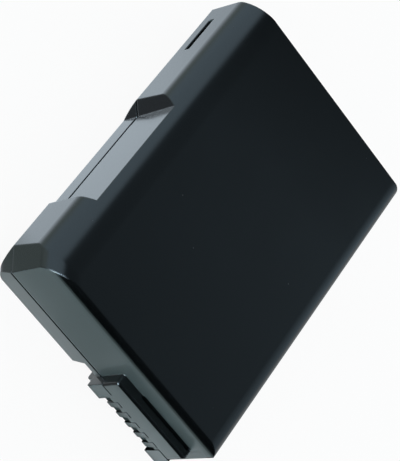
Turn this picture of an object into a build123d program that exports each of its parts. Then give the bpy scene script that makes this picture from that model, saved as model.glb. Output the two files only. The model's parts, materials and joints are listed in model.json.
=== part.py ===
from build123d import *
import math
import os

# Camera battery: two flat cells, a protection board and six contacts in a two-shell housing.
# Millimetres. The battery lies on its back: X is its width, Y its length with the terminals at
# the low end, Z its thickness. The origin is under the middle of the overall box.

# Housing, overall
WIDTH = 36.6
BODY_LENGTH = 51.0
THICKNESS = 14.0
WALL = 1.1
PARTING_HEIGHT = 4.6

# Terminal block on the end wall: a strip on the front shell above a comb on the back shell
BLOCK_REACH = 1.6
BLOCK_SIDE_GAP = 1.77
BLOCK_FRONT = 9.5
BLOCK_SPLIT = 6.2
BLOCK_EDGE = 0.35
STRIP_FOOT_EDGE = 0.12
STRIP_CORNER = 0.45
STRIP_END_ROUND = 0.6
STRIP_GAP_START = 4.0
STRIP_GAP_STOP = 0.35
STRIP_GAP_HEIGHT = 0.65
STRIP_GAP_REACH = 0.35
STRIP_GAP_DEPTH = 0.45
COMB_BACK = 2.8
COMB_EDGE = 0.2
COMB_LEAN = 0.12
COMB_ROOT = 0.3
COMB_BAR = 1.0
SLOT_COUNT = 6
SLOT_PITCH = 1.86
SLOT_WIDTH = 0.96
LAST_SLOT_WIDTH = 0.45
FIRST_END_WIDTH = 2.45
LAST_END_WIDTH = 2.13
FINGER_DEPTH = 0.7
FINGER_BACK = 3.35
FINGER_EDGE = 0.2
FINGER_LEAN = 0.35
FINGER_ROUND = 0.45
SLOT_LEDGE = 0.45
SLOT_LEDGE_SETBACK = 0.15

# Housing edges, from the photographed side round to the hidden one
CREASE_HEIGHT = 10.5
CREASE_INSET = 0.25
CREASE_ROUND = 2.2
SIDE_ROUND = 6.0
CORNER_BEVEL_END = 2.15
CORNER_BEVEL_SIDE = 2.77
CORNER_CREASE = 11.0
CORNER_ROUND = 3.9
CORNER_BACK_ROUND = 2.6
HIDDEN_ROUND = 2.7
HIDDEN_CORNER = 0.8
END_ROUND = 0.42
END_CROWN = 4.5
END_CROWN_TURN = 24.0
END_BACK_LEAN = 0.65
END_BACK_ROUND = 0.6
FAR_ROUND = 0.25
FAR_BACK_ROUND = 1.0
BACK_INSET = 2.75
BACK_BULGE = 0.25
BACK_ROUND = 2.0

# Finger recess and slot in the photographed side
RECESS_DEPTH = 1.72
RECESS_LENGTH = 20.4
RECESS_FAR_GAP = 19.6
RECESS_FAR_RAMP = 1.6
RECESS_NEAR_RAMP = 0.45
RECESS_LIP = 0.8
RECESS_LIP_CLEARANCE = 0.02
RECESS_GROOVE_HEIGHT = 0.45
SIDE_SLOT_LENGTH = 6.6
SIDE_SLOT_WIDTH = 1.0
SIDE_SLOT_DEPTH = 0.75
SIDE_SLOT_HEIGHT = 6.75
SIDE_SLOT_FAR_GAP = 2.9

# Key notch in the back shell's end wall, beside the terminal block
NOTCH_WIDTH = 2.25
NOTCH_UNDERCUT = 0.7
NOTCH_HEIGHT = 3.05
NOTCH_DEPTH = 2.4
NOTCH_SLOPE = 0.5

# Corner relief on the end wall, beyond the terminal block
RELIEF_DEPTH = 0.3
RELIEF_GAP = 0.1
RELIEF_HEIGHT = 11.5

# Joint between the shells
GROOVE_HEIGHT = 0.34
GROOVE_DEPTH = 0.42
TONGUE_WIDTH = 0.45
TONGUE_HEIGHT = 0.8
TONGUE_ROOT = 0.4
JOINT_CLEARANCE = 0.05

# Cells, which fill the housing up to these clearances
CELL_SIDE_CLEARANCE = 0.25
CELL_HIDDEN_CLEARANCE = 1.23
CELL_END_CLEARANCE = 0.15
HEADER_ROOM = 3.35
CELL_RIM = 0.4
TERMINAL_SIZE = (6.0, 2.4)
TERMINAL_RISE = 0.6
WELD_PAD_OFFSET = 8.0
ADHESIVE_THICKNESS = 0.2
ADHESIVE_MARGIN = 3.0
INSULATOR_THICKNESS = 0.25
INSULATOR_MARGIN = 0.5
INSULATOR_CLEARANCE = 0.2
PAD_THICKNESS = 0.6
PAD_MARGIN = 5.0
STOP_SIZE = (3.0, 1.2, 2.6)
STOP_SPREAD = 13.0
STOP_CLEARANCE = 0.1

# Nickel tabs
TAB_WIDTH = 3.0
TAB_THICKNESS = 0.15

# Circuit board
BOARD_THICKNESS = 0.8
BOARD_NOTCH_CLEARANCE = 0.1
BOARD_SIDE_GAP = 3.4
BOARD_TOP_CLEARANCE = 0.1
BOARD_BEVEL = 1.2
BOARD_FRONT_BEVEL = 2.6
GUIDE_SIZE = (1.6, 1.0, 2.1)
GUIDE_CLEARANCE = 0.1

# Contacts
CONTACT_WIDTH = 0.34
CONTACT_THICKNESS = 0.3
CONTACT_LENGTH = 1.0
CONTACT_DROP = 0.7
CONTACT_CLEARANCE = 0.05

# Board parts: width, height and thickness
PROTECTION_CHIP = (4.4, 3.0, 1.0)
SWITCH_CHIP = (3.0, 3.0, 0.9)
MEMORY_CHIP = (2.2, 2.2, 0.8)
FUSE = (3.2, 1.6, 0.7)
THERMISTOR = (1.6, 0.8, 0.6)
SENSE_RESISTOR = (3.2, 1.6, 0.6)
CHIP_CAPACITOR = (1.6, 0.8, 0.7)

# Board parts: how far each middle is from its end of the board, and how far above the board's middle
PROTECTION_CHIP_PLACE = (6.4, -2.6)
FUSE_PLACE = (4.0, 4.0)
MEMORY_CHIP_PLACE = (13.3, 3.6)
CAPACITOR_1_PLACE = (11.7, 0.9)
SENSE_RESISTOR_PLACE = (4.3, -2.6)
SWITCH_CHIP_PLACE = (9.0, 3.3)
CAPACITOR_2_PLACE = (10.0, -1.2)
THERMISTOR_PLACE = (10.0, -3.9)

# Places worked out from the sizes above
HALF = WIDTH / 2
END = -(BODY_LENGTH + BLOCK_REACH) / 2 + BLOCK_REACH
FAR = END + BODY_LENGTH
BLOCK_FACE = END - BLOCK_REACH
INNER_END = END + WALL
INNER_FAR = FAR - WALL
INNER_FRONT = THICKNESS - WALL
RECESS_FAR = FAR - RECESS_FAR_GAP
RECESS_NEAR = RECESS_FAR - RECESS_LENGTH
BOARD_OUTER = END + NOTCH_DEPTH + WALL + BOARD_NOTCH_CLEARANCE
BOARD_INNER = BOARD_OUTER + BOARD_THICKNESS
CELL_LEFT = -HALF + RECESS_DEPTH + WALL + CELL_SIDE_CLEARANCE
CELL_RIGHT = HALF - WALL - CELL_HIDDEN_CLEARANCE
CELL_WIDTH = CELL_RIGHT - CELL_LEFT
CELL_MIDDLE_X = (CELL_LEFT + CELL_RIGHT) / 2
CELL_FAR = INNER_FAR - CELL_END_CLEARANCE
CELL_HEADER = BOARD_INNER + HEADER_ROOM
CELL_LENGTH = CELL_FAR - CELL_HEADER
CELL_THICKNESS = (INNER_FRONT - WALL - ADHESIVE_THICKNESS - PAD_THICKNESS) / 2
CELL_BACK_BASE = WALL
CELL_FRONT_BASE = CELL_BACK_BASE + CELL_THICKNESS + ADHESIVE_THICKNESS
CELL_FRONT_TOP = CELL_FRONT_BASE + CELL_THICKNESS
CELL_BACK_MIDDLE = CELL_BACK_BASE + CELL_THICKNESS / 2
CELL_FRONT_MIDDLE = CELL_FRONT_BASE + CELL_THICKNESS / 2
TERMINAL_FACE = CELL_HEADER - TERMINAL_RISE
BLOCK_STOP = HALF - BLOCK_SIDE_GAP
LAST_SLOT = BLOCK_STOP - LAST_END_WIDTH - LAST_SLOT_WIDTH
SLOT_STARTS = [LAST_SLOT - SLOT_PITCH * i for i in reversed(range(SLOT_COUNT))]
SLOT_WIDTHS = [SLOT_WIDTH] * (SLOT_COUNT - 1) + [LAST_SLOT_WIDTH]
SLOT_STOPS = [start + width for start, width in zip(SLOT_STARTS, SLOT_WIDTHS)]
SLOT_CENTRES = [(start + stop) / 2 for start, stop in zip(SLOT_STARTS, SLOT_STOPS)]
COMB_START = SLOT_STARTS[0] - FIRST_END_WIDTH
CONTACT_HEIGHT = PARTING_HEIGHT - CONTACT_DROP
BOARD_LEFT = -HALF + BOARD_SIDE_GAP
BOARD_RIGHT = HALF - BOARD_SIDE_GAP
COMB_TOP = BLOCK_SPLIT - JOINT_CLEARANCE
GROOVE_BASE = PARTING_HEIGHT - GROOVE_HEIGHT


def block(x0, x1, y0, y1, z0, z1):
    """A box between two corners."""
    box = Box(x1 - x0, y1 - y0, z1 - z0, align=(Align.MIN, Align.MIN, Align.MIN))
    return Pos(x0, y0, z0) * box


def arc_through(centre, radius, start, stop):
    """The circular arc between two angles in degrees, as a three-point arc."""
    points = []
    for angle in (start, (start + stop) / 2, stop):
        turn = math.radians(angle)
        points.append((centre[0] + radius * math.cos(turn), centre[1] + radius * math.sin(turn)))
    return ThreePointArc(*points)


def prism_along_y(face, start, length):
    """A face drawn in X and Z, run from a Y place towards the far end."""
    plane = Plane(origin=(0, start + length, 0), x_dir=(1, 0, 0), z_dir=(0, -1, 0))
    return extrude(plane * face, amount=length)


def cross_section(inset):
    """The housing's outline across its width, drawn in by the inset, as a face in X and Z."""
    lean = math.hypot(BACK_INSET, PARTING_HEIGHT) / PARTING_HEIGHT
    left = -HALF + inset
    right = HALF - inset
    base = inset
    top = THICKNESS - inset
    slope = BACK_INSET / PARTING_HEIGHT
    base_inset = BACK_INSET - slope * inset + inset * lean
    knee = PARTING_HEIGHT - inset * (lean - 1) / slope
    rise = THICKNESS - CREASE_HEIGHT
    centre_x = -HALF + CREASE_INSET + math.sqrt(SIDE_ROUND**2 - (SIDE_ROUND - rise) ** 2)
    centre = (centre_x, THICKNESS - SIDE_ROUND)
    radius = SIDE_ROUND - inset
    wall_x = left + CREASE_INSET
    start = 180 - math.degrees(math.acos((centre_x - wall_x) / radius))
    crease_z = centre[1] + radius * math.sin(math.radians(start))
    hidden = HIDDEN_ROUND - inset
    hidden_centre = (HALF - HIDDEN_ROUND, THICKNESS - HIDDEN_ROUND)
    side_middle = HALF - (base_inset + inset) / 2 + BACK_BULGE / lean
    side_height = (base + knee) / 2 - BACK_BULGE * slope / lean
    outline = [
        ThreePointArc((-HALF + base_inset, base), (-side_middle, side_height), (left, knee)),
        Line((left, knee), (wall_x, crease_z)),
        arc_through(centre, radius, start, 90),
        Line((centre_x, top), (hidden_centre[0], top)),
        arc_through(hidden_centre, hidden, 90, 0),
        Line((right, hidden_centre[1]), (right, knee)),
        ThreePointArc((right, knee), (side_middle, side_height), (HALF - base_inset, base)),
        Line((HALF - base_inset, base), (-HALF + base_inset, base)),
    ]
    section = make_face(Curve() + outline)
    low = [v for v in section.vertices() if abs(v.Y - base) < 1e-4]
    section = fillet(low, max(BACK_ROUND - inset, WALL / 10))
    crease = [v for v in section.vertices() if math.dist((v.X, v.Y), (wall_x, crease_z)) < 1e-4]
    return fillet(crease, CREASE_ROUND - inset)


def plan_outline(inset):
    """The housing's outline from the front without its recess, drawn in by the inset."""
    slant = math.hypot(CORNER_BEVEL_END, CORNER_BEVEL_SIDE)
    along_end = CORNER_BEVEL_END + inset * (slant - CORNER_BEVEL_END) / CORNER_BEVEL_SIDE
    along_side = CORNER_BEVEL_SIDE + inset * (slant - CORNER_BEVEL_SIDE) / CORNER_BEVEL_END
    left, right = -HALF + inset, HALF - inset
    near, far = END + inset, FAR - inset
    corners = [(left, far), (left, END + along_side), (-HALF + along_end, near), (right, near), (right, far)]
    plan = make_face(Polyline(*corners, close=True))
    hidden = [v for v in plan.vertices() if v.X > 0 and v.Y < 0]
    return fillet(hidden, max(HIDDEN_CORNER - inset, WALL / 10))


def recess_outline(inset):
    """The finger recess from the front, grown by the inset where a lining goes round it."""
    floor = -HALF + RECESS_DEPTH + inset
    near, far = RECESS_NEAR - inset, RECESS_FAR + inset
    lip = -HALF - RECESS_LIP_CLEARANCE
    mouth = -HALF - WALL
    corners = [
        (mouth, near - 2 * RECESS_LIP),
        (lip, near - 2 * RECESS_LIP),
        (lip, near),
        (floor, near + RECESS_NEAR_RAMP),
        (floor, far - RECESS_FAR_RAMP),
        (lip, far),
        (mouth, far),
    ]
    outline = make_face(Polyline(*corners, close=True))
    near_lip = [v for v in outline.vertices() if math.dist((v.X, v.Y), (lip, near)) < 1e-4]
    return fillet(near_lip, RECESS_LIP)


def corner_cove(inset):
    """The cutter that rounds the front edge of the bevelled corner."""
    rise = THICKNESS - CORNER_CREASE
    depth = math.sqrt(CORNER_ROUND**2 - (CORNER_ROUND - rise) ** 2)
    centre = (depth, THICKNESS - CORNER_ROUND)
    radius = CORNER_ROUND - inset
    start = 180 - math.degrees(math.acos((depth - inset) / radius))
    crease_z = centre[1] + radius * math.sin(math.radians(start))
    top = THICKNESS + WALL
    outline = [
        Polyline((-WALL, crease_z), (inset, crease_z)),
        arc_through(centre, radius, start, 90),
        Polyline((depth, THICKNESS - inset), (depth, top), (-WALL, top), (-WALL, crease_z)),
    ]
    return prism_along_bevel(make_face(Curve() + outline))


def corner_heel(inset):
    """The cutter that rounds the back edge of the bevelled corner."""
    size = CORNER_BACK_ROUND
    outline = [
        Polyline((inset, size), (-WALL, size), (-WALL, -WALL), (size, -WALL), (size, inset)),
        arc_through((size, size), size - inset, 270, 180),
    ]
    return prism_along_bevel(make_face(Curve() + outline))


def prism_along_bevel(face):
    """A face drawn across the bevelled corner, from its flat inwards, run along the bevel."""
    middle = (-HALF + CORNER_BEVEL_END / 2, END + CORNER_BEVEL_SIDE / 2, 0)
    inwards = (CORNER_BEVEL_SIDE, CORNER_BEVEL_END, 0)
    plane = Plane(origin=middle, x_dir=inwards, z_dir=(CORNER_BEVEL_END, -CORNER_BEVEL_SIDE, 0))
    return extrude(plane * face, amount=WIDTH / 2, both=True)


def edges_on_end(solid, y_place):
    """The edges that lie in one end plane."""
    return [edge for edge in solid.edges() if all(abs(v.Y - y_place) < 1e-4 for v in edge.vertices())]


def side_profile():
    """The housing's outline seen from its long side, with its end rounds, as a solid."""
    turn = math.radians(END_CROWN_TURN)
    crown_rise = (END_CROWN - END_ROUND) * math.sin(turn)
    round_y = END + END_CROWN - (END_CROWN - END_ROUND) * math.cos(turn)
    round_z = THICKNESS - END_ROUND
    crown_z = round_z - crown_rise
    corners = [(END + END_BACK_LEAN, 0), (FAR, 0), (FAR, THICKNESS)]
    outline = [
        arc_through((round_y, round_z), END_ROUND, 90, 180 - END_CROWN_TURN),
        arc_through((END + END_CROWN, crown_z), END_CROWN, 180 - END_CROWN_TURN, 180),
        Polyline((END, crown_z), (END, PARTING_HEIGHT), *corners, (round_y, THICKNESS)),
    ]
    profile = make_face(Curve() + outline)
    for corner, radius in zip(corners, [END_BACK_ROUND, FAR_BACK_ROUND, FAR_ROUND]):
        vertex = [v for v in profile.vertices() if math.dist((v.X, v.Y), corner) < 1e-4]
        profile = fillet(vertex, radius)
    return extrude(Plane.YZ * profile, amount=WIDTH, both=True)


def housing_blank():
    """The closed housing as one solid block, with all its outer edges."""
    body = extrude(plan_outline(0), amount=THICKNESS)
    body &= prism_along_y(cross_section(0), END, BODY_LENGTH)
    body &= side_profile()
    body -= corner_cove(0)
    body -= corner_heel(0)
    body -= extrude(recess_outline(0), amount=THICKNESS)
    return body


def housing_cavity():
    """The room inside the housing, one wall in from its outside."""
    room = extrude(plan_outline(WALL), amount=THICKNESS)
    room &= prism_along_y(cross_section(WALL), END, BODY_LENGTH)
    room -= corner_cove(WALL)
    room -= corner_heel(WALL)
    room -= extrude(recess_outline(WALL), amount=THICKNESS)
    return room


def rim_plan(inset):
    """The housing's outline with its recess, drawn in by the inset, for the joint's tongue."""
    return plan_outline(inset) - recess_outline(inset)


def slab(z0, z1):
    """A block wider than the housing between two heights."""
    return block(-WIDTH, WIDTH, -BODY_LENGTH, BODY_LENGTH, z0, z1)


def tongue(grow):
    """The raised rim of the back shell that fits inside the front shell, grown for the groove."""
    outer = WALL - TONGUE_WIDTH
    ring = rim_plan(outer - grow) - rim_plan(WALL)
    base = PARTING_HEIGHT - TONGUE_ROOT
    return Pos(0, 0, base) * extrude(ring, amount=TONGUE_ROOT + TONGUE_HEIGHT + grow)


def side_slot():
    """The narrow blind slot in the photographed side, near the far end."""
    far = FAR - SIDE_SLOT_FAR_GAP
    low = SIDE_SLOT_HEIGHT - SIDE_SLOT_WIDTH / 2
    high = SIDE_SLOT_HEIGHT + SIDE_SLOT_WIDTH / 2
    return block(-HALF - WALL, -HALF + SIDE_SLOT_DEPTH, far - SIDE_SLOT_LENGTH, far, low, high)


def block_strip():
    """The front half of the terminal block, a plain strip on the end wall."""
    strip = block(COMB_START, BLOCK_STOP, BLOCK_FACE, INNER_END - WALL / 2, BLOCK_SPLIT, BLOCK_FRONT)
    upright = strip.edges().filter_by(Axis.Z).sort_by(Axis.X)[-2:].sort_by(Axis.Y)[0]
    strip = fillet(upright, STRIP_END_ROUND)
    corner = strip.edges().filter_by(Axis.Y).sort_by(Axis.X)[:2].sort_by(Axis.Z)[-1]
    strip = fillet(corner, STRIP_CORNER)
    low = [e for e in edges_on_end(strip, BLOCK_FACE) if e.center().Z < BLOCK_SPLIT + STRIP_FOOT_EDGE / 2]
    strip = chamfer(low, STRIP_FOOT_EDGE)
    high = [e for e in edges_on_end(strip, BLOCK_FACE) if e.center().Z > BLOCK_SPLIT + BLOCK_EDGE * 2]
    rim = [e for e in high if e.center().X < BLOCK_STOP - STRIP_END_ROUND - BLOCK_EDGE]
    return fillet(rim, BLOCK_EDGE)


def strip_gap():
    """The narrow dark gap between the strip and the end wall, along most of the strip."""
    x0, x1 = COMB_START + STRIP_GAP_START, BLOCK_STOP - STRIP_GAP_STOP
    y0, y1 = END - STRIP_GAP_REACH, END + STRIP_GAP_DEPTH
    low = BLOCK_FRONT - STRIP_GAP_REACH
    return block(x0, x1, y0, y1, low, low + STRIP_GAP_HEIGHT)


def parting_groove():
    """The groove round the back shell's rim, which leaves out the bevelled corner."""
    groove = slab(GROOVE_BASE, PARTING_HEIGHT) - extrude(rim_plan(GROOVE_DEPTH), amount=THICKNESS)
    corner_x, corner_y = -HALF + CORNER_BEVEL_END, END + CORNER_BEVEL_SIDE
    return groove - block(-WIDTH, corner_x, -BODY_LENGTH, corner_y, 0, THICKNESS)


def recess_groove():
    """The wider part of the parting groove, along the floor of the finger recess."""
    floor = -HALF + RECESS_DEPTH + GROOVE_DEPTH
    near, far = RECESS_NEAR + RECESS_NEAR_RAMP, RECESS_FAR - RECESS_FAR_RAMP
    return block(-HALF, floor, near, far, PARTING_HEIGHT - RECESS_GROOVE_HEIGHT, PARTING_HEIGHT)


def corner_relief():
    """The shallow step in the end wall between the terminal block and the hidden side."""
    x0 = BLOCK_STOP + RELIEF_GAP
    return block(x0, WIDTH, END - WALL, END + RELIEF_DEPTH, 0, RELIEF_HEIGHT)


def comb_piece(x0, x1, y1, back, lean, edge):
    """One upright piece of the comb, whose outer face leans in and turns round to the back."""
    toe = (BLOCK_FACE + lean, back)
    profile = make_face(Polyline((BLOCK_FACE, COMB_TOP), toe, (y1, back), (y1, COMB_TOP), close=True))
    profile = fillet([v for v in profile.vertices() if math.dist((v.X, v.Y), toe) < 1e-4], edge)
    plane = Plane(origin=(x0, 0, 0), x_dir=(0, 1, 0), z_dir=(1, 0, 0))
    return extrude(plane * profile, amount=x1 - x0)


def finger(x0, x1):
    """One finger of the comb, with its tip rounded off."""
    corners = [(x0, FINGER_BACK), (x1, FINGER_BACK), (x1, COMB_TOP), (x0, COMB_TOP)]
    face = make_face(Polyline(*corners, close=True))
    tip = [v for v in face.vertices() if math.dist((v.X, v.Y), (x1, FINGER_BACK)) < 1e-4]
    face = fillet(tip, FINGER_ROUND)
    piece = comb_piece(x0, x1, BLOCK_FACE + FINGER_DEPTH, FINGER_BACK, FINGER_LEAN, FINGER_EDGE)
    return piece & prism_along_y(face, BLOCK_FACE, FINGER_DEPTH)


def comb():
    """The back half of the terminal block: two end pieces joined by a bar that carries fingers."""
    first, last = SLOT_STARTS[0], SLOT_STOPS[-1]
    ledge = BLOCK_FACE + SLOT_LEDGE_SETBACK
    root = END + COMB_ROOT
    pieces = comb_piece(COMB_START, first, root, COMB_BACK, COMB_LEAN, COMB_EDGE)
    pieces += comb_piece(last, BLOCK_STOP, root, COMB_BACK, COMB_LEAN, COMB_EDGE)
    pieces -= block(first - SLOT_LEDGE, first, BLOCK_FACE - WALL, ledge, 0, THICKNESS)
    pieces += block(first - WALL, last + WALL, ledge, END, COMB_TOP - COMB_BAR, COMB_TOP)
    for left, right in zip(SLOT_STOPS, SLOT_STARTS[1:]):
        pieces += finger(left, right)
    return pieces - block(0, WIDTH, END - JOINT_CLEARANCE, END + WALL, GROOVE_BASE, THICKNESS)


def notch(grow):
    """The key notch beside the terminal block, grown by a wall for the lining behind it."""
    right = COMB_START + NOTCH_UNDERCUT + grow
    left = COMB_START - NOTCH_WIDTH - grow
    top = NOTCH_HEIGHT + grow
    corners = [(left - NOTCH_SLOPE, 0), (right, 0), (right, top), (left, top)]
    start = END - (0 if grow else WALL)
    stop = END + NOTCH_DEPTH + grow
    return prism_along_y(make_face(Polyline(*corners, close=True)), start, stop - start)


def board_guides():
    """Posts on the back shell's floor that stand on both sides of the board."""
    width, depth, height = GUIDE_SIZE
    posts = Part()
    for x in (BOARD_LEFT + BOARD_BEVEL, BOARD_RIGHT - BOARD_BEVEL - width):
        outer_stop = BOARD_OUTER - GUIDE_CLEARANCE
        inner_start = BOARD_INNER + GUIDE_CLEARANCE
        posts += block(x, x + width, outer_stop - depth, outer_stop, WALL / 2, WALL + height)
        posts += block(x, x + width, inner_start, inner_start + depth, WALL / 2, WALL + height)
    return posts


def cell_stops():
    """Two posts on the back shell's floor that keep the cells against the far wall."""
    width, depth, height = STOP_SIZE
    stop = CELL_HEADER - INSULATOR_THICKNESS - STOP_CLEARANCE
    posts = Part()
    for side in (-1, 1):
        x = CELL_MIDDLE_X + side * STOP_SPREAD - width / 2
        posts += block(x, x + width, stop - depth, stop, WALL / 2, WALL + height)
    return posts


def contact_passages():
    """The holes in the end wall for the contacts' tails."""
    holes = Part()
    reach = CONTACT_WIDTH / 2 + CONTACT_CLEARANCE
    half = CONTACT_THICKNESS / 2 + CONTACT_CLEARANCE
    low, high = CONTACT_HEIGHT - half, CONTACT_HEIGHT + half
    for x in SLOT_CENTRES:
        holes += block(x - reach, x + reach, END - CONTACT_THICKNESS, INNER_END + WALL, low, high)
    return holes


def front_shell(blank, cavity):
    """The moulded front half of the housing."""
    shell = (blank - cavity) & slab(PARTING_HEIGHT, THICKNESS)
    shell -= corner_relief()
    shell -= tongue(JOINT_CLEARANCE)
    shell -= side_slot()
    shell += block_strip() - cavity
    return shell - strip_gap()


def back_shell(blank, cavity):
    """The moulded back half of the housing with the terminal comb and the posts inside."""
    lower = blank & slab(0, PARTING_HEIGHT)
    shell = lower - cavity
    shell += notch(WALL) & lower
    shell -= parting_groove()
    shell -= recess_groove()
    shell += tongue(0)
    shell -= corner_relief()
    shell -= notch(0)
    shell += (board_guides() + cell_stops()) & cavity_and_floor(cavity)
    shell += comb()
    shell -= contact_passages()
    return shell


def cavity_and_floor(cavity):
    """The inside of the housing with half of the back wall, where posts may stand."""
    floor = Pos(0, 0, WALL / 2) * extrude(plan_outline(BACK_INSET + WALL), amount=WALL)
    return cavity + floor


def cell(base, pad_side):
    """A sealed flat can with half-round sides, a centre terminal and a weld pad on its header."""
    middle = base + CELL_THICKNESS / 2
    face = SlotOverall(CELL_WIDTH, CELL_THICKNESS)
    can = prism_along_y(Pos(CELL_MIDDLE_X, middle) * face, CELL_HEADER, CELL_LENGTH)
    can = fillet([e for y in (CELL_HEADER, CELL_FAR) for e in edges_on_end(can, y)], CELL_RIM)
    for x in (CELL_MIDDLE_X, CELL_MIDDLE_X + pad_side * WELD_PAD_OFFSET):
        can += header_post(x, middle, 0)
    return can


def header_post(x, z, grow):
    """A raised pad on a cell's header, grown where the insulator clears it."""
    half_x, half_z = TERMINAL_SIZE[0] / 2 + grow, TERMINAL_SIZE[1] / 2 + grow
    return block(x - half_x, x + half_x, TERMINAL_FACE, CELL_HEADER + CELL_RIM, z - half_z, z + half_z)


def header_insulator(base, pad_side):
    """The insulating paper on a cell's header, cut out round its two raised pads."""
    middle = base + CELL_THICKNESS / 2
    face = SlotOverall(CELL_WIDTH - 2 * INSULATOR_MARGIN, CELL_THICKNESS - 2 * INSULATOR_MARGIN)
    start = CELL_HEADER - INSULATOR_THICKNESS
    sheet = prism_along_y(Pos(CELL_MIDDLE_X, middle) * face, start, INSULATOR_THICKNESS)
    for x in (CELL_MIDDLE_X, CELL_MIDDLE_X + pad_side * WELD_PAD_OFFSET):
        sheet -= header_post(x, middle, INSULATOR_CLEARANCE)
    return sheet


def cell_adhesive():
    """The double-sided pad between the two cans."""
    half = CELL_WIDTH / 2 - CELL_THICKNESS / 2 - ADHESIVE_MARGIN
    low = CELL_BACK_BASE + CELL_THICKNESS
    return block(
        CELL_MIDDLE_X - half,
        CELL_MIDDLE_X + half,
        CELL_HEADER + ADHESIVE_MARGIN,
        CELL_FAR - ADHESIVE_MARGIN,
        low,
        low + ADHESIVE_THICKNESS,
    )


def front_pad():
    """The foam pad between the front can and the front wall."""
    half = CELL_WIDTH / 2 - CELL_THICKNESS / 2 - PAD_MARGIN
    return block(
        CELL_MIDDLE_X - half,
        CELL_MIDDLE_X + half,
        CELL_HEADER + PAD_MARGIN,
        CELL_FAR - PAD_MARGIN,
        CELL_FRONT_TOP,
        INNER_FRONT,
    )


def tab_plate(x, z, width, height):
    """A piece of nickel strip lying flat on a header pad."""
    face = TERMINAL_FACE - TAB_THICKNESS
    return block(x - width / 2, x + width / 2, face, TERMINAL_FACE, z - height / 2, z + height / 2)


def tab_arm(x, z, start):
    """A piece of nickel strip that runs from a place in front of the header to the board."""
    half = TAB_THICKNESS / 2
    return block(x - TAB_WIDTH / 2, x + TAB_WIDTH / 2, BOARD_INNER, start, z - half, z + half)


def board_tab(x, z):
    """A bent strip from one header pad straight to the board."""
    return tab_plate(x, z, TAB_WIDTH, TERMINAL_SIZE[1]) + tab_arm(x, z, TERMINAL_FACE)


def link_tab():
    """The strip from the front cell's centre terminal to the back cell's weld pad."""
    pad_x = CELL_MIDDLE_X + WELD_PAD_OFFSET
    across = WELD_PAD_OFFSET + TAB_WIDTH
    strip = tab_plate(CELL_MIDDLE_X + WELD_PAD_OFFSET / 2, CELL_FRONT_MIDDLE, across, TERMINAL_SIZE[1])
    between = (CELL_FRONT_MIDDLE + CELL_BACK_MIDDLE) / 2
    drop = CELL_FRONT_MIDDLE - CELL_BACK_MIDDLE
    return strip + tab_plate(pad_x, between, TAB_WIDTH, drop + TERMINAL_SIZE[1])


def circuit_board():
    """The board that stands across the terminal end, with its corners bevelled to suit the shells."""
    top = INNER_FRONT - BOARD_TOP_CLEARANCE
    left, right = BOARD_LEFT, BOARD_RIGHT
    corners = [
        (left + BOARD_BEVEL, WALL),
        (right - BOARD_BEVEL, WALL),
        (right, WALL + BOARD_BEVEL),
        (right, top - BOARD_BEVEL),
        (right - BOARD_BEVEL, top),
        (left + BOARD_FRONT_BEVEL, top),
        (left, top - BOARD_FRONT_BEVEL),
        (left, WALL + BOARD_BEVEL),
    ]
    return prism_along_y(make_face(Polyline(*corners, close=True)), BOARD_OUTER, BOARD_THICKNESS)


def board_part(size, x, rise):
    """A component on the board's inner face."""
    width, height, depth = size
    left = x - width / 2
    low = (WALL + INNER_FRONT) / 2 + rise - height / 2
    return block(left, left + width, BOARD_INNER, BOARD_INNER + depth, low, low + height)


def part_from_left(size, place):
    """A component placed from the board's end on the photographed side."""
    return board_part(size, BOARD_LEFT + place[0], place[1])


def part_from_right(size, place):
    """A component placed from the board's end on the hidden side."""
    return board_part(size, BOARD_RIGHT - place[0], place[1])


def contact(x):
    """A contact blade in a slot of the comb, with a tail through the end wall to the board."""
    half = CONTACT_WIDTH / 2
    high = CONTACT_HEIGHT + CONTACT_THICKNESS / 2
    low = CONTACT_HEIGHT - CONTACT_THICKNESS / 2
    blade = block(x - half, x + half, END - CONTACT_THICKNESS, END, high - CONTACT_LENGTH, high)
    tail = block(x - half, x + half, END, BOARD_OUTER, low, high)
    return blade + tail


def build():
    """Every node of the battery by name."""
    blank = housing_blank()
    cavity = housing_cavity()
    nodes = {
        "front_shell": front_shell(blank, cavity),
        "back_shell": back_shell(blank, cavity),
        "cell_front": cell(CELL_FRONT_BASE, -1),
        "cell_back": cell(CELL_BACK_BASE, 1),
        "cell_adhesive": cell_adhesive(),
        "front_pad": front_pad(),
        "header_insulator_front": header_insulator(CELL_FRONT_BASE, -1),
        "header_insulator_back": header_insulator(CELL_BACK_BASE, 1),
        "link_tab": link_tab(),
        "positive_tab": board_tab(CELL_MIDDLE_X - WELD_PAD_OFFSET, CELL_FRONT_MIDDLE),
        "negative_tab": board_tab(CELL_MIDDLE_X, CELL_BACK_MIDDLE),
        "midpoint_tab": tab_arm(
            CELL_MIDDLE_X + WELD_PAD_OFFSET,
            (CELL_FRONT_MIDDLE + CELL_BACK_MIDDLE) / 2,
            TERMINAL_FACE - TAB_THICKNESS,
        ),
        "circuit_board": circuit_board(),
        "protection_chip": part_from_left(PROTECTION_CHIP, PROTECTION_CHIP_PLACE),
        "fuse": part_from_left(FUSE, FUSE_PLACE),
        "memory_chip": part_from_left(MEMORY_CHIP, MEMORY_CHIP_PLACE),
        "chip_capacitor_1": part_from_left(CHIP_CAPACITOR, CAPACITOR_1_PLACE),
        "sense_resistor": part_from_right(SENSE_RESISTOR, SENSE_RESISTOR_PLACE),
        "switch_chip": part_from_right(SWITCH_CHIP, SWITCH_CHIP_PLACE),
        "chip_capacitor_2": part_from_right(CHIP_CAPACITOR, CAPACITOR_2_PLACE),
        "thermistor": part_from_right(THERMISTOR, THERMISTOR_PLACE),
    }
    for number, x in enumerate(SLOT_CENTRES, start=1):
        nodes[f"contact_{number}"] = contact(x)
    return nodes


os.makedirs("parts", exist_ok=True)
for name, solid in build().items():
    export_step(solid, f"parts/{name}.step")
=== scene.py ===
import json

import bpy
from mathutils import Matrix, Vector

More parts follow.
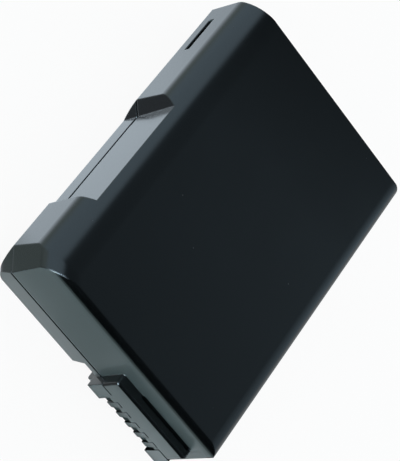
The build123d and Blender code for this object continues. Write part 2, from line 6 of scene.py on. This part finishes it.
# Camera battery: a satin black case lying on its back on a white sweep, seen from above its
# terminal end. Metres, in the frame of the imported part.

MM = 0.001

# Camera, fitted to the photograph's edges: a long lens above the bevelled corner, rolled a little
CAMERA_PLACE = (-83.22 * MM, -123.16 * MM, 186.57 * MM)
CAMERA_RIGHT = (0.58659, 0.51636, 0.62393)
CAMERA_DOWN = (0.72751, -0.67447, -0.12578)
CAMERA_AHEAD = (0.35587, 0.52770, -0.77129)
LENS_MM = 136.13
SENSOR_MM = 36.0
CLIP_START = 0.01
CLIP_END = 20.0

# Sweep: its paint, and how much of its own light and shade the camera sees
FLOOR_SIZE = 3.0
FLOOR_DROP = 0.02 * MM
FLOOR_COLOUR = (0.80, 0.80, 0.80, 1.0)
FLOOR_SHADE_SHARE = 0.07

# Sheen of the sweep in gloss, a painted glow that only gloss sees and the case shows as its reflections:
# before the terminal end, at its foot, on the hidden side and far left
SHEEN_COLOUR = (0.89, 0.97, 1.01, 1.0)
SHEEN_LEFT_COLOUR = (0.79, 0.99, 0.99, 1.0)
SHEEN_BASE = 0.27
SHEEN_RIGHT_RISE = 2.25
SHEEN_LEFT_RISE = 1.62
SHEEN_END_FOOT = 0.54
SHEEN_COMB_FOOT = (0.85, 1.25)
SHEEN_HIDDEN_SIDE = 0.45
SHEEN_FAR_LEFT = 0.75

# Edges of the sheen on the sweep, each from where it starts to where it is full. A patch has its
# edge across the battery first, then its edge along it.
NEAR_EDGE = (-44.0 * MM, -33.0 * MM)
RIGHT_EDGE = (4.0 * MM, 24.0 * MM)
LEFT_EDGE = (-16.5 * MM, -20.0 * MM)
WALL_FOOT = ((-21.0 * MM, -13.0 * MM), (-28.2 * MM, -26.5 * MM))
# Painted shade: a dark patch in the painted glow, where the strip's left side reflects the sweep
STRIP_SHADE = ((-7.0 * MM, -4.5 * MM), (-26.1 * MM, -26.6 * MM))
COMB_FOOT = ((3.0 * MM, 5.0 * MM), (-30.7 * MM, -29.5 * MM))
COMB_FOOT_RISE = (4.0 * MM, 20.0 * MM)
# Painted shade: a dark patch in the painted glow under the comb, so that its slots reflect dark
COMB_SHADE = ((3.5 * MM, 5.5 * MM), (-28.2 * MM, -27.0 * MM))
FAR_LEFT_EDGE = (-26.0 * MM, -52.0 * MM)
BESIDE_EDGE = (-24.5 * MM, -15.0 * MM)
RECESS_SIDE_EDGE = (4.0 * MM, -4.0 * MM)

# Painted glint on the rim of the bevelled corner, from a bright wedge painted on the sweep and a bright
# patch of the room's light: its glow, and its edges on the sweep and in the room
GLINT_GLOW = 16.0
GLINT_NEAR_EDGE = (-55.0 * MM, -80.0 * MM)
GLINT_LEFT_EDGE = (-6.0 * MM, -22.0 * MM)
GLINT_SLANT = 0.5
GLINT_SLANT_EDGE = (0.0, 15.0 * MM)
GLINT_LEFT = (-0.02, -0.12)
GLINT_FRONT = (-0.62, -0.85)

# Pool of light that the recessed side shows, by how far the view runs along the battery
POOL_COLOUR = (0.84, 0.97, 1.075, 1.0)
POOL_GLOW = 1.6
POOL_SHADE = 0.25
POOL_EDGE = (-0.15, 0.35)
POOL_FADE = (0.565, 0.62, 1.0, 0.75)

# Room: its light on matt faces, and the dim walls and soft panel that the gloss shows
ROOM_COLOUR = (0.72, 0.82, 0.86, 1.0)
STUDIO_COLOUR = (0.72, 0.97, 1.15, 1.0)
WHITE = (1.0, 1.0, 1.0, 1.0)
CEILING_GLOW = 0.158
HORIZON_GLOW = 0.48
HORIZON_DIP = (-0.02, -0.06)
PANEL_GLOW = 0.92
PANEL_EDGE = (-0.36, -0.54)
RIGHT_WALL = (0.22, 0.82)
DARK_SIDE = (-0.40, 0.05)
NEAR_SHADE = (0.45, 0.58, 0.65, 1.32)
FAR_SHADE = (0.58, 0.64, 1.0, 0.0)

# Low soft box before the bevelled corner: place, size in metres and power in watts
LAMP_PLACE = (-0.30, -0.62, 0.10)
LAMP_SIZE = (0.20, 0.12)
LAMP_POWER = 0.20

# Satin black plastic of the two shells, in linear colour, with a spark-eroded end wall. The end wall's
# lighter grey colour is painted light that stands in for the light it catches.
FRONT_SHELL_COLOUR = (0.0021, 0.0028, 0.0032, 1.0)
BACK_SHELL_COLOUR = (0.0025, 0.0032, 0.0036, 1.0)
END_WALL_PAINTED_LIGHT_COLOUR = (0.080, 0.102, 0.101, 1.0)
END_WALL_TURN = (-0.965, -0.9995)
SIDE_TURN = (0.15, 0.35)
CASE_ROUGHNESS = 0.20
CASE_SIDE_ROUGHNESS = 0.16
CASE_END_ROUGHNESS = 0.36
CASE_UNEVENNESS = 0.02
CASE_SPECULAR = 0.75
CASE_EDGE_RADIUS = 0.28 * MM
CASE_EDGE_SAMPLES = 6
CASE_GRAIN = 6000.0
CASE_CLOUDS = 80.0
CASE_GRAIN_STRENGTH = 0.10
CASE_GRAIN_DEPTH = 0.02 * MM
SMOOTH_GRAIN_SHARE = 0.3

# Specks of dust: how many cells to the metre, the share that holds one, and its fading rim
DUST_COLOUR = (0.028, 0.030, 0.031, 1.0)
DUST_ROUGHNESS = 0.80
DUST_CELLS = 700.0
DUST_SHARE = 0.05
DUST_RIM = (0.10, 0.04)

# Pieces inside the case, by material slot: two tones of each, and how rough and how fine it is
ROLLED_METALS = {
    "cell_can": {
        "name": "drawn_aluminium",
        "dark": (0.50, 0.51, 0.52, 1.0),
        "light": (0.70, 0.71, 0.72, 1.0),
        "roughness": 0.34,
        "stretch": (2500.0, 60.0, 2500.0),
    },
    "nickel": {
        "name": "rolled_nickel",
        "dark": (0.54, 0.51, 0.46, 1.0),
        "light": (0.74, 0.71, 0.65, 1.0),
        "roughness": 0.28,
        "stretch": (60.0, 3000.0, 3000.0),
    },
    "contact_gold": {
        "name": "contact_gold",
        "dark": (0.74, 0.52, 0.19, 1.0),
        "light": (0.90, 0.70, 0.31, 1.0),
        "roughness": 0.24,
        "stretch": (3000.0, 3000.0, 80.0),
    },
}
PRESSED_SHEETS = {
    "adhesive": {
        "name": "tape_adhesive",
        "dark": (0.66, 0.65, 0.60, 1.0),
        "light": (0.82, 0.81, 0.77, 1.0),
        "roughness": 0.55,
        "grain": 5000.0,
        "depth": 0.02 * MM,
    },
    "foam": {
        "name": "closed_foam",
        "dark": (0.02, 0.02, 0.021, 1.0),
        "light": (0.08, 0.08, 0.083, 1.0),
        "roughness": 0.9,
        "grain": 3500.0,
        "depth": 0.1 * MM,
    },
    "insulating_paper": {
        "name": "fibre_paper",
        "dark": (0.28, 0.38, 0.34, 1.0),
        "light": (0.44, 0.55, 0.50, 1.0),
        "roughness": 0.8,
        "grain": 4000.0,
        "depth": 0.02 * MM,
    },
}
CAPPED_PARTS = {
    "fuse_body": {
        "name": "fuse_ceramic",
        "dark": (0.48, 0.45, 0.36, 1.0),
        "light": (0.62, 0.59, 0.48, 1.0),
        "roughness": 0.30,
    },
    "resistor_body": {
        "name": "resistor_glaze",
        "dark": (0.04, 0.04, 0.045, 1.0),
        "light": (0.06, 0.06, 0.065, 1.0),
        "roughness": 0.25,
    },
    "capacitor_body": {
        "name": "capacitor_ceramic",
        "dark": (0.36, 0.26, 0.16, 1.0),
        "light": (0.48, 0.36, 0.24, 1.0),
        "roughness": 0.35,
    },
}
BOARD_DARK = (0.012, 0.10, 0.040, 1.0)
BOARD_LIGHT = (0.028, 0.18, 0.080, 1.0)
BOARD_WARP = (3200.0, 3200.0, 90.0)
BOARD_WEFT = (90.0, 3200.0, 3200.0)
BOARD_SPAN = (0.35, 0.65)
BOARD_ROUGHNESS = (0.24, 0.34)
CHIP_DARK = (0.022, 0.022, 0.024, 1.0)
CHIP_LIGHT = (0.040, 0.040, 0.042, 1.0)
CHIP_GRAIN = 12000.0
CHIP_CLOUDS = 900.0
CHIP_ROUGHNESS = (0.50, 0.60)
TIN = (0.60, 0.60, 0.58, 1.0)
CAP_START = 0.30
CERAMIC_GRAIN = 9000.0
CERAMIC_CLOUDS = 1500.0
SHEET_CLOUDS = 400.0
SHEET_MOTTLE = (0.1, 0.45)
METAL_SPAN = (0.2, 0.8)
METAL_UNEVENNESS = 0.06
SKIN_UNEVENNESS = 0.05
CLOUD_SPAN = (0.3, 0.7)
GRAIN_DETAIL = 2.0
CLOUD_DETAIL = 3.0

# Bumps of the inside pieces: how strong, and how deep in metres where the piece has no depth of its own
METAL_BUMP = (0.15, 0.01 * MM)
BOARD_BUMP = (0.2, 0.02 * MM)
CHIP_BUMP = (0.3, 0.01 * MM)
CERAMIC_BUMP = (0.2, 0.01 * MM)
SHEET_BUMP = 0.5


def start_material(name):
    """A new node material with only its output, and that output."""
    material = bpy.data.materials.new(name)
    material.use_nodes = True
    tree = material.node_tree
    tree.nodes.clear()
    output = tree.nodes.new("ShaderNodeOutputMaterial")
    return material, tree, output


def feed(tree, socket, value):
    """Joins a socket to an input, or sets the input to a plain value."""
    if isinstance(value, bpy.types.NodeSocket):
        tree.links.new(value, socket)
    else:
        socket.default_value = value


def fed_node(tree, kind, inputs):
    """A new node of a kind with its named inputs fed."""
    node = tree.nodes.new(kind)
    for name, value in inputs.items():
        feed(tree, node.inputs[name], value)
    return node


def principled(tree, output, inputs):
    """A Principled shader with its named inputs fed, joined to the material's output."""
    shader = fed_node(tree, "ShaderNodeBsdfPrincipled", inputs)
    tree.links.new(shader.outputs["BSDF"], output.inputs["Surface"])


def math(tree, operation, first, second=0.0):
    """A Math node on one or two values, each a socket or a number."""
    node = tree.nodes.new("ShaderNodeMath")
    node.operation = operation
    feed(tree, node.inputs[0], first)
    feed(tree, node.inputs[1], second)
    return node.outputs["Value"]


def ramp(tree, value, start, stop, low=0.0, high=1.0):
    """A soft step of a value from low at start to high at stop."""
    inputs = {"Value": value, "From Min": start, "From Max": stop, "To Min": low, "To Max": high}
    node = fed_node(tree, "ShaderNodeMapRange", inputs)
    node.interpolation_type = "SMOOTHSTEP"
    return node.outputs["Result"]


def mixed(tree, share, first, second):
    """A value between two values, by a share."""
    node = fed_node(tree, "ShaderNodeMix", {"Factor": share, "A": first, "B": second})
    return node.outputs["Result"]


def blend(tree, share, first, second):
    """A colour between two colours, by a share."""
    node = tree.nodes.new("ShaderNodeMix")
    node.data_type = "RGBA"
    feed(tree, node.inputs["Factor"], share)
    feed(tree, node.inputs["A"], first)
    feed(tree, node.inputs["B"], second)
    return node.outputs["Result"]


def mixed_shader(tree, share, first, second):
    """A shader between two shaders, by a share."""
    node = tree.nodes.new("ShaderNodeMixShader")
    feed(tree, node.inputs["Fac"], share)
    feed(tree, node.inputs[1], first)
    feed(tree, node.inputs[2], second)
    return node.outputs["Shader"]


def noise(tree, place, scale, detail):
    """The value of a noise texture at a place."""
    inputs = {"Vector": place, "Scale": scale, "Detail": detail}
    return fed_node(tree, "ShaderNodeTexNoise", inputs).outputs["Fac"]


def split(tree, vector):
    """The three parts of a vector."""
    return fed_node(tree, "ShaderNodeSeparateXYZ", {"Vector": vector}).outputs


def coordinate(tree, name):
    """One of the object's own texture coordinates."""
    return tree.nodes.new("ShaderNodeTexCoord").outputs[name]


def bump(tree, height, strength, distance):
    """A Bump node, which raises the normal by a height."""
    inputs = {"Height": height, "Strength": strength, "Distance": distance}
    return fed_node(tree, "ShaderNodeBump", inputs)


def around(tree, value, middle, spread):
    """A roughness that wanders round its middle with the clouds of a skin."""
    return ramp(tree, value, *CLOUD_SPAN, middle - spread, middle + spread)


def start_group(name, inputs, outputs):
    """A shader node group with named inputs and outputs, and its two end nodes."""
    group = bpy.data.node_groups.new(name, "ShaderNodeTree")
    for label, kind, value in inputs:
        socket = group.interface.new_socket(label, in_out="INPUT", socket_type=kind)
        socket.default_value = value
    for label in outputs:
        group.interface.new_socket(label, in_out="OUTPUT", socket_type="NodeSocketFloat")
    start = group.nodes.new("NodeGroupInput")
    stop = group.nodes.new("NodeGroupOutput")
    return group, start.outputs, stop.inputs


def place_group(tree, group, **values):
    """A group placed in a material with its own values, and its outputs."""
    node = tree.nodes.new("ShaderNodeGroup")
    node.node_tree = group
    for label, value in values.items():
        feed(tree, node.inputs[label], value)
    return node.outputs


def moulded_skin():
    """Fine grain of a moulded face, and broad clouds of slightly different gloss."""
    inputs = [("Grain", "NodeSocketFloat", CASE_GRAIN), ("Clouds", "NodeSocketFloat", CASE_CLOUDS)]
    group, start, stop = start_group("moulded_skin", inputs, ["Height", "Cloud"])
    place = coordinate(group, "Object")
    feed(group, stop["Height"], noise(group, place, start["Grain"], GRAIN_DETAIL))
    feed(group, stop["Cloud"], noise(group, place, start["Clouds"], CLOUD_DETAIL))
    return group


def settled_dust():
    """A few separate specks of dust."""
    inputs = [("Cells", "NodeSocketFloat", DUST_CELLS), ("Share", "NodeSocketFloat", DUST_SHARE)]
    group, start, stop = start_group("settled_dust", inputs, ["Specks"])
    place = {"Vector": coordinate(group, "Object"), "Scale": start["Cells"]}
    cells = fed_node(group, "ShaderNodeTexVoronoi", place)
    near = ramp(group, cells.outputs["Distance"], *DUST_RIM)
    chance = split(group, cells.outputs["Color"])["X"]
    chosen = math(group, "LESS_THAN", chance, start["Share"])
    feed(group, stop["Specks"], math(group, "MULTIPLY", near, chosen))
    return group


def case_faces():
    """The case's finish by face: polished front, satin sides and a spark-eroded terminal end, whose mask
    also sets the end's painted-light grey.
    """
    group, _, stop = start_group("case_faces", [], ["Roughness", "End"])
    facing = split(group, coordinate(group, "Normal"))
    upright = math(group, "ABSOLUTE", facing["Z"])
    side = ramp(group, upright, *SIDE_TURN, CASE_SIDE_ROUGHNESS, CASE_ROUGHNESS)
    end = ramp(group, facing["Y"], *END_WALL_TURN)
    eroded = math(group, "MULTIPLY", end, CASE_END_ROUGHNESS)
    feed(group, stop["Roughness"], math(group, "MAXIMUM", side, eroded))
    feed(group, stop["End"], end)
    return group


def rolled_lines():
    """Fine lines along one direction, from a noise drawn out by a stretch."""
    inputs = [("Stretch", "NodeSocketVector", BOARD_WARP)]
    group, start, stop = start_group("rolled_lines", inputs, ["Lines"])
    drawn = group.nodes.new("ShaderNodeVectorMath")
    drawn.operation = "MULTIPLY"
    feed(group, drawn.inputs[0], coordinate(group, "Object"))
    feed(group, drawn.inputs[1], start["Stretch"])
    feed(group, stop["Lines"], noise(group, drawn.outputs["Vector"], 1.0, CLOUD_DETAIL))
    return group


def end_caps():
    """The two plated ends of a chip part, as a mask along its length."""
    inputs = [("Body", "NodeSocketFloat", CAP_START)]
    group, start, stop = start_group("end_caps", inputs, ["Caps"])
    along = split(group, coordinate(group, "Generated"))["X"]
    away = math(group, "ABSOLUTE", math(group, "SUBTRACT", along, 0.5))
    feed(group, stop["Caps"], math(group, "GREATER_THAN", away, start["Body"]))
    return group


def case_plastic(effects, name, colour):
    """Satin moulded plastic of a shell, with its grain, soft edges and a little dust."""
    material, tree, output = start_material(name)
    skin = place_group(tree, effects["skin"], Grain=CASE_GRAIN, Clouds=CASE_CLOUDS)
    specks = place_group(tree, effects["dust"], Cells=DUST_CELLS, Share=DUST_SHARE)["Specks"]
    faces = place_group(tree, effects["faces"])
    # Painted light: the terminal end's faces take a lighter grey that stands in for the light they catch
    plastic_with_painted_end = blend(tree, faces["End"], colour, END_WALL_PAINTED_LIGHT_COLOUR)
    uneven = around(tree, skin["Cloud"], 0.0, CASE_UNEVENNESS)
    gloss = math(tree, "ADD", faces["Roughness"], uneven)
    dusty = math(tree, "MULTIPLY", specks, DUST_ROUGHNESS)
    edges = fed_node(tree, "ShaderNodeBevel", {"Radius": CASE_EDGE_RADIUS})
    edges.samples = CASE_EDGE_SAMPLES
    grain = math(tree, "MULTIPLY", skin["Height"], math(tree, "ADD", faces["End"], SMOOTH_GRAIN_SHARE))
    raised = bump(tree, grain, CASE_GRAIN_STRENGTH, CASE_GRAIN_DEPTH)
    feed(tree, raised.inputs["Normal"], edges.outputs["Normal"])
    principled(tree, output, {
        "Base Color": blend(tree, specks, plastic_with_painted_end, DUST_COLOUR),
        "Roughness": math(tree, "MAXIMUM", gloss, dusty),
        "Specular IOR Level": CASE_SPECULAR,
        "Normal": raised.outputs["Normal"],
    })
    return material


def rolled_metal(effects, name, dark, light, roughness, stretch):
    """Drawn or rolled sheet metal with fine lines."""
    material, tree, output = start_material(name)
    lines = place_group(tree, effects["lines"], Stretch=stretch)["Lines"]
    low, high = roughness - METAL_UNEVENNESS, roughness + METAL_UNEVENNESS
    principled(tree, output, {
        "Base Color": blend(tree, lines, dark, light),
        "Metallic": 1.0,
        "Roughness": ramp(tree, lines, *METAL_SPAN, low, high),
        "Normal": bump(tree, lines, *METAL_BUMP).outputs["Normal"],
    })
    return material


def pressed_sheet(effects, name, dark, light, roughness, grain, depth):
    """Foam, tape or fibre sheet: a mottled, matt skin."""
    material, tree, output = start_material(name)
    skin = place_group(tree, effects["skin"], Grain=grain, Clouds=SHEET_CLOUDS)
    mottle = math(tree, "MULTIPLY", skin["Cloud"], skin["Height"])
    principled(tree, output, {
        "Base Color": blend(tree, ramp(tree, mottle, *SHEET_MOTTLE), dark, light),
        "Roughness": around(tree, skin["Cloud"], roughness, SKIN_UNEVENNESS),
        "Normal": bump(tree, skin["Height"], SHEET_BUMP, depth).outputs["Normal"],
    })
    return material


def board_laminate(effects, name):
    """Solder mask over woven glass cloth."""
    material, tree, output = start_material(name)
    warp = place_group(tree, effects["lines"], Stretch=BOARD_WARP)["Lines"]
    weft = place_group(tree, effects["lines"], Stretch=BOARD_WEFT)["Lines"]
    cloth = math(tree, "MULTIPLY", math(tree, "ADD", warp, weft), 0.5)
    principled(tree, output, {
        "Base Color": blend(tree, ramp(tree, cloth, *BOARD_SPAN), BOARD_DARK, BOARD_LIGHT),
        "Roughness": ramp(tree, cloth, *BOARD_SPAN, *BOARD_ROUGHNESS),
        "Normal": bump(tree, cloth, *BOARD_BUMP).outputs["Normal"],
    })
    return material


def moulded_epoxy(effects, name):
    """Matt black epoxy of a chip's package."""
    material, tree, output = start_material(name)
    skin = place_group(tree, effects["skin"], Grain=CHIP_GRAIN, Clouds=CHIP_CLOUDS)
    principled(tree, output, {
        "Base Color": blend(tree, skin["Cloud"], CHIP_DARK, CHIP_LIGHT),
        "Roughness": ramp(tree, skin["Cloud"], *CLOUD_SPAN, *CHIP_ROUGHNESS),
        "Normal": bump(tree, skin["Height"], *CHIP_BUMP).outputs["Normal"],
    })
    return material


def capped_part(effects, name, dark, light, roughness):
    """A small ceramic part with a plated cap on each end."""
    material, tree, output = start_material(name)
    caps = place_group(tree, effects["caps"], Body=CAP_START)["Caps"]
    skin = place_group(tree, effects["skin"], Grain=CERAMIC_GRAIN, Clouds=CERAMIC_CLOUDS)
    ceramic = blend(tree, skin["Cloud"], dark, light)
    principled(tree, output, {
        "Base Color": blend(tree, caps, ceramic, TIN),
        "Metallic": caps,
        "Roughness": around(tree, skin["Cloud"], roughness, SKIN_UNEVENNESS),
        "Normal": bump(tree, skin["Height"], *CERAMIC_BUMP).outputs["Normal"],
    })
    return material


def make_materials():
    """Every material of the battery, by the slot it fills."""
    effects = {
        "skin": moulded_skin(),
        "dust": settled_dust(),
        "faces": case_faces(),
        "lines": rolled_lines(),
        "caps": end_caps(),
    }
    materials = {
        "front_shell_plastic": case_plastic(effects, "front_shell_plastic", FRONT_SHELL_COLOUR),
        "back_shell_plastic": case_plastic(effects, "back_shell_plastic", BACK_SHELL_COLOUR),
        "board": board_laminate(effects, "green_board"),
        "chip": moulded_epoxy(effects, "chip_epoxy"),
    }
    kinds = ((rolled_metal, ROLLED_METALS), (pressed_sheet, PRESSED_SHEETS), (capped_part, CAPPED_PARTS))
    for make, finishes in kinds:
        for slot, finish in finishes.items():
            materials[slot] = make(effects, **finish)
    return materials


def dress(nodes, subparts):
    """Gives each node of the battery the material of its slot in the record."""
    materials = make_materials()
    for row in subparts:
        worn = nodes[row["node"]].data.materials
        worn.clear()
        worn.append(materials[row["material_slot"]])


def patch(tree, place, across, along):
    """A soft-edged patch of the sweep, as a mask."""
    return math(tree, "MULTIPLY", ramp(tree, place["X"], *across), ramp(tree, place["Y"], *along))


def rest_of(tree, mask):
    """What a mask leaves out."""
    return math(tree, "SUBTRACT", 1.0, mask)


def painted_end_sheen(tree, place):
    """How bright the painted glow on the sweep shows in gloss before the terminal end, with painted shade
    by the strip and under the comb, and the share of it left of the corner.
    """
    base = ramp(tree, place["Y"], *NEAR_EDGE, 0.0, SHEEN_BASE)
    to_right = ramp(tree, place["X"], *RIGHT_EDGE, 1.0, SHEEN_RIGHT_RISE)
    to_left = ramp(tree, place["X"], *LEFT_EDGE)
    rising = math(tree, "MULTIPLY", base, mixed(tree, to_left, to_right, SHEEN_LEFT_RISE))
    clear_of_strip = rest_of(tree, patch(tree, place, *STRIP_SHADE))
    by_wall = math(tree, "MULTIPLY", patch(tree, place, *WALL_FOOT), clear_of_strip)
    wall_foot = math(tree, "MULTIPLY", by_wall, SHEEN_END_FOOT)
    comb_rise = ramp(tree, place["X"], *COMB_FOOT_RISE, *SHEEN_COMB_FOOT)
    comb_foot = math(tree, "MULTIPLY", patch(tree, place, *COMB_FOOT), comb_rise)
    lit = math(tree, "ADD", rising, math(tree, "MAXIMUM", wall_foot, comb_foot))
    return math(tree, "MULTIPLY", lit, rest_of(tree, patch(tree, place, *COMB_SHADE))), to_left


def painted_corner_glint(tree, place):
    """The bright wedge painted on the sweep, a painted glint that the rim of the bevelled corner shows in
    gloss.
    """
    slanted = math(tree, "MULTIPLY", place["Y"], GLINT_SLANT)
    wedge = ramp(tree, math(tree, "SUBTRACT", place["X"], slanted), *GLINT_SLANT_EDGE)
    in_front = math(tree, "MULTIPLY", ramp(tree, place["Y"], *GLINT_NEAR_EDGE), wedge)
    return math(tree, "MULTIPLY", in_front, ramp(tree, place["X"], *GLINT_LEFT_EDGE, 0.0, GLINT_GLOW))


def painted_sheen_glow(tree):
    """Tint and brightness of the painted glow that gloss sees on the sweep at each place, and where gloss
    looks through it.
    """
    place = split(tree, coordinate(tree, "Object"))
    end, to_left = painted_end_sheen(tree, place)
    far_left = ramp(tree, place["X"], *FAR_LEFT_EDGE)
    beside = ramp(tree, place["Y"], *BESIDE_EDGE)
    near = mixed(tree, beside, end, SHEEN_HIDDEN_SIDE)
    wide = mixed(tree, far_left, near, SHEEN_FAR_LEFT)
    recess_side = math(tree, "SUBTRACT", ramp(tree, place["X"], *RECESS_SIDE_EDGE), far_left)
    tint = blend(tree, to_left, SHEEN_COLOUR, SHEEN_LEFT_COLOUR)
    glow = math(tree, "MAXIMUM", wide, painted_corner_glint(tree, place))
    return tint, glow, math(tree, "MULTIPLY", beside, recess_side)


def light_rays(tree):
    """Which rays are the camera's own, and which come by gloss or through glass."""
    rays = tree.nodes.new("ShaderNodeLightPath").outputs
    return rays["Is Camera Ray"], math(tree, "MAXIMUM", rays["Is Glossy Ray"], rays["Is Transmission Ray"])


def white_sweep():
    """The floor's paint: white with a faint shadow, a cool painted glow that only gloss sees as the case's
    reflections, and clear from below.
    """
    material, tree, output = start_material("white_sweep")
    tint, glow, see_through = painted_sheen_glow(tree)
    to_eye, by_gloss = light_rays(tree)
    paint = fed_node(tree, "ShaderNodeBsdfDiffuse", {"Color": FLOOR_COLOUR}).outputs["BSDF"]
    white = fed_node(tree, "ShaderNodeEmission", {"Color": WHITE}).outputs["Emission"]
    painted_sheen = fed_node(tree, "ShaderNodeEmission", {"Color": tint, "Strength": glow}).outputs["Emission"]
    clear = tree.nodes.new("ShaderNodeBsdfTransparent").outputs["BSDF"]
    backfacing = tree.nodes.new("ShaderNodeNewGeometry").outputs["Backfacing"]
    seen = mixed_shader(tree, math(tree, "MULTIPLY", to_eye, 1 - FLOOR_SHADE_SHARE), paint, white)
    in_gloss = mixed_shader(tree, see_through, painted_sheen, clear)
    from_above = mixed_shader(tree, by_gloss, seen, in_gloss)
    feed(tree, output.inputs["Surface"], mixed_shader(tree, backfacing, from_above, clear))
    return material


def make_floor():
    """A wide flat floor just under the battery."""
    mesh = bpy.data.meshes.new("floor")
    half = FLOOR_SIZE / 2
    corners = [(-half, -half), (half, -half), (half, half), (-half, half)]
    mesh.from_pydata([(x, y, -FLOOR_DROP) for x, y in corners], [], [(0, 1, 2, 3)])
    floor = bpy.data.objects.new("floor", mesh)
    bpy.context.scene.collection.objects.link(floor)
    mesh.materials.append(white_sweep())


def studio_glow(tree, way):
    """What gloss sees of the room: a soft panel on the recessed side, dark before the terminal end."""
    walls = ramp(tree, way["X"], *RIGHT_WALL, CEILING_GLOW, HORIZON_GLOW)
    lit = math(tree, "MULTIPLY", walls, ramp(tree, way["Y"], *DARK_SIDE))
    deeper = math(tree, "MULTIPLY", lit, ramp(tree, way["Y"], *NEAR_SHADE))
    shaded = math(tree, "MULTIPLY", deeper, ramp(tree, way["Y"], *FAR_SHADE))
    panel = ramp(tree, way["X"], *PANEL_EDGE, 0.0, PANEL_GLOW)
    room = math(tree, "MAXIMUM", shaded, panel)
    to_front = ramp(tree, way["Y"], *GLINT_FRONT, 0.0, GLINT_GLOW)
    glint = math(tree, "MULTIPLY", ramp(tree, way["X"], *GLINT_LEFT), to_front)
    return math(tree, "MAXIMUM", room, glint)


def pool_glow(tree, way):
    """What gloss sees through the sweep: light from the far end, dark to the near one."""
    lit = ramp(tree, way["Y"], *POOL_EDGE, POOL_SHADE, POOL_GLOW)
    return math(tree, "MULTIPLY", lit, ramp(tree, way["Y"], *POOL_FADE))


def background(tree, colour, strength=1.0):
    """A Background shader of one colour and strength."""
    inputs = {"Color": colour, "Strength": strength}
    return fed_node(tree, "ShaderNodeBackground", inputs).outputs["Background"]


def make_world():
    """Plain light on matt faces, a studio in the gloss and white behind the sweep."""
    world = bpy.data.worlds.new("room")
    world.use_nodes = True
    tree = world.node_tree
    tree.nodes.clear()
    output = tree.nodes.new("ShaderNodeOutputWorld")
    way = split(tree, coordinate(tree, "Generated"))
    below = ramp(tree, way["Z"], *HORIZON_DIP)
    tint = blend(tree, below, STUDIO_COLOUR, POOL_COLOUR)
    studio = background(tree, tint, mixed(tree, below, studio_glow(tree, way), pool_glow(tree, way)))
    to_eye, by_gloss = light_rays(tree)
    lit = mixed_shader(tree, by_gloss, background(tree, ROOM_COLOUR), studio)
    feed(tree, output.inputs["Surface"], mixed_shader(tree, to_eye, lit, background(tree, WHITE)))
    bpy.context.scene.world = world


def make_lamp():
    """The low soft box, aimed at the battery."""
    data = bpy.data.lights.new("low_softbox", "AREA")
    data.shape = "RECTANGLE"
    data.size, data.size_y = LAMP_SIZE
    data.energy = LAMP_POWER
    lamp = bpy.data.objects.new("low_softbox", data)
    lamp.location = LAMP_PLACE
    lamp.rotation_euler = (-Vector(LAMP_PLACE)).to_track_quat("-Z", "Y").to_euler()
    bpy.context.scene.collection.objects.link(lamp)


def make_camera():
    """The fitted camera, whose roll comes with its three axes."""
    data = bpy.data.cameras.new("camera")
    data.lens = LENS_MM
    data.sensor_width = SENSOR_MM
    data.clip_start = CLIP_START
    data.clip_end = CLIP_END
    camera = bpy.data.objects.new("camera", data)
    right = Vector(CAMERA_RIGHT)
    up = -Vector(CAMERA_DOWN)
    back = -Vector(CAMERA_AHEAD)
    turn = Matrix((right, up, back)).transposed().to_4x4()
    camera.matrix_world = Matrix.Translation(CAMERA_PLACE) @ turn
    bpy.context.scene.collection.objects.link(camera)
    bpy.context.scene.camera = camera


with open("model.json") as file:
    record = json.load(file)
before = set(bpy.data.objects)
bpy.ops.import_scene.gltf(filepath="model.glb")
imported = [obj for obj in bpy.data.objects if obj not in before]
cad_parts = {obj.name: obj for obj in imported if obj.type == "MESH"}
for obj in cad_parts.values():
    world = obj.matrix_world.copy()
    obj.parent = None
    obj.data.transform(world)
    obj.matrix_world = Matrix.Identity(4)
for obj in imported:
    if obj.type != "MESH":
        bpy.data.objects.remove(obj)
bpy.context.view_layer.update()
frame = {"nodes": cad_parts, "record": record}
bpy.context.scene.view_settings.view_transform = "Standard"
make_world()
make_floor()
make_lamp()
make_camera()
dress(frame["nodes"], frame["record"]["subparts"])
